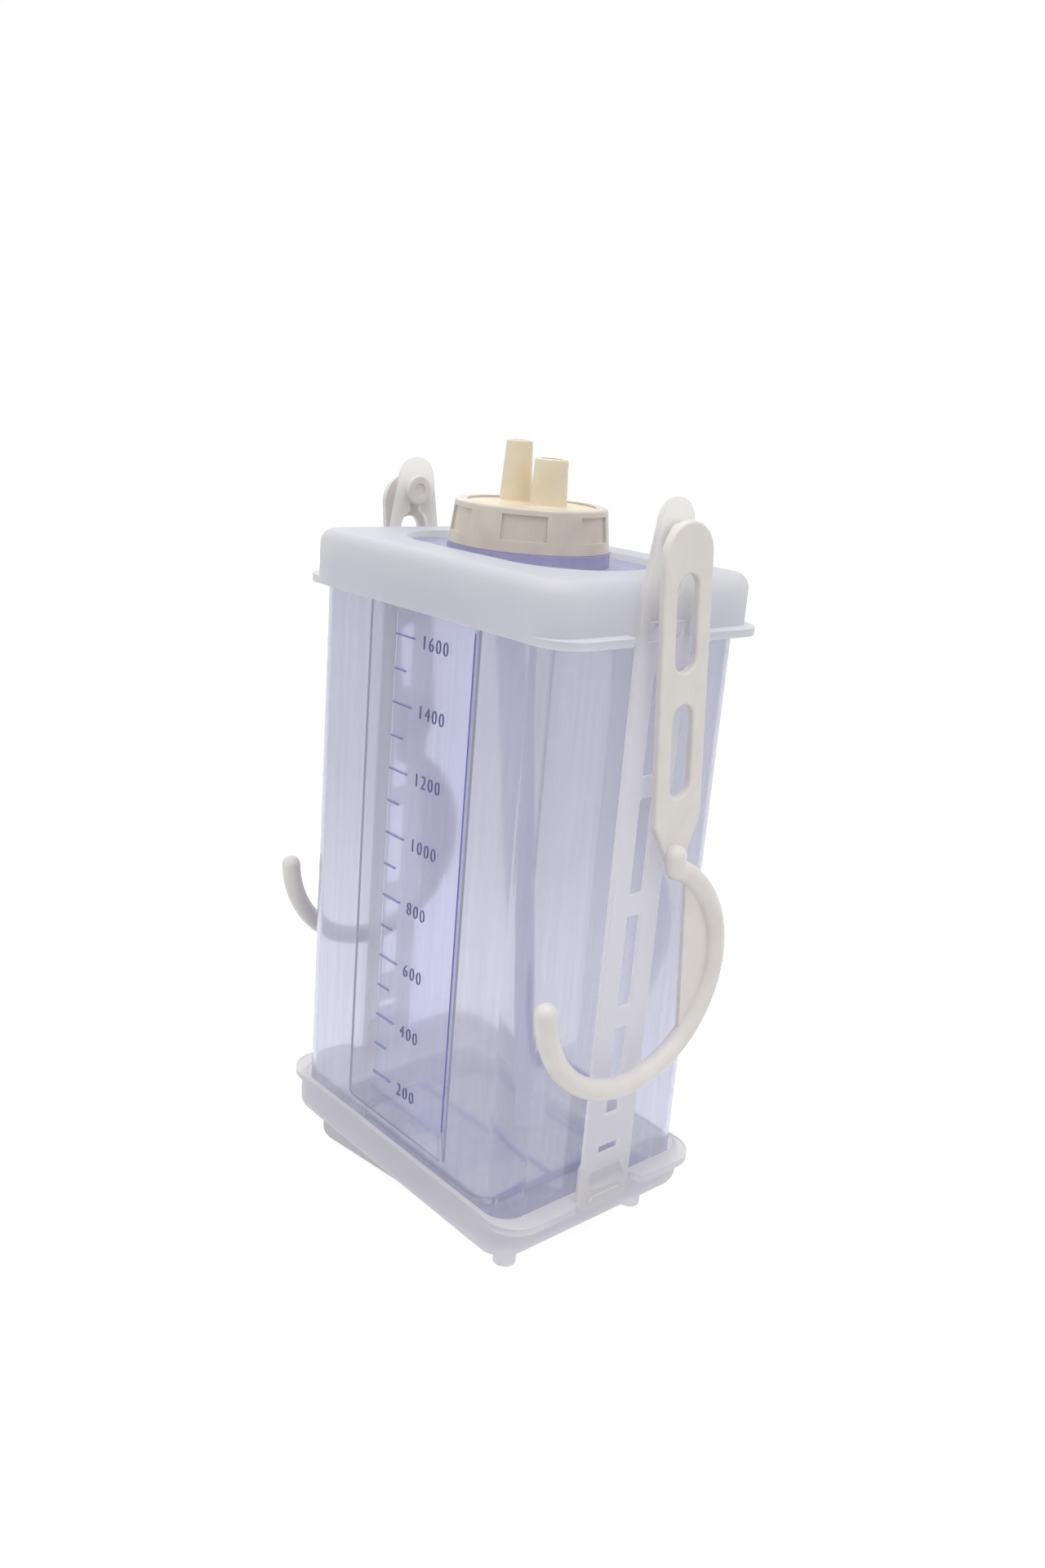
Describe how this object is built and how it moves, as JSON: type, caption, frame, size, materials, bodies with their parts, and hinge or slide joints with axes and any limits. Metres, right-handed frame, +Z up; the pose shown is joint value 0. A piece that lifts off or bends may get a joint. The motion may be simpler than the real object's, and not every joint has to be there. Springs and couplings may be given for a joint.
{
  "type": "chest drain unit",
  "caption": "Clear graduated drain bottle between a moulded cover and tray, with a two-spout screw cap, bed-rail hooks and a swing-out stand.",
  "frame": {"origin": "centre of the unit's footprint, on the surface that it stands on", "axes": "+Z up, +X to the right along the wide front, -Y out of the graduated front"},
  "size_m": [0.1512, 0.0908, 0.2665],
  "materials": {
    "clear_bottle": "clear, faintly blue, polished by the blow mould",
    "milky_shell": "milky translucent polypropylene, satin",
    "milky_strap": "milky translucent polypropylene, satin",
    "stand_plastic": "natural polypropylene, satin",
    "hook_plastic": "opaque warm white, soft gloss",
    "cap_plastic": "ivory polyethylene, soft gloss",
    "gasket_rubber": "soft natural rubber",
    "tube_plastic": "soft clear vinyl"
  },
  "bodies": {
    "frame": {"bottle": "clear_bottle", "top_cover": "milky_shell", "bottom_tray": "milky_shell", "strap_left": "milky_strap", "strap_right": "milky_strap"},
    "right_hook": {"hook_right": "hook_plastic"},
    "left_hook": {"hook_left": "hook_plastic"},
    "spouts": {"spout_plate": "cap_plastic", "cap_gasket": "gasket_rubber", "dip_tube": "tube_plastic"},
    "cap": {"cap_ring": "cap_plastic"},
    "stand": {"floor_stand": "stand_plastic"}
  },
  "joints": [
    {"name": "right_hook_swing", "type": "hinge", "parent": "frame", "child": "right_hook", "pos_m": [0.068, 0, 0.2445], "axis": [1, 0, 0], "continuous": true},
    {"name": "left_hook_swing", "type": "hinge", "parent": "frame", "child": "left_hook", "pos_m": [-0.068, 0, 0.2445], "axis": [1, 0, 0], "continuous": true},
    {"name": "cap_lift", "type": "slide", "parent": "frame", "child": "spouts", "axis": [0, 0, 1], "range_m": [0, 0.00601]},
    {"name": "cap_turn", "type": "hinge", "parent": "spouts", "child": "cap", "pos_m": [0, 0, 0.24], "axis": [0, 0, 1], "range_deg": [0, 540]},
    {"name": "stand_swing", "type": "hinge", "parent": "frame", "child": "stand", "pos_m": [0, 0, 0.005], "axis": [0, 0, 1], "range_deg": [-7, 83]}
  ],
  "couplings": [
    {"joint": "cap_lift", "follows": "cap_turn", "m_per_rad": 0.00063662}
  ]
}
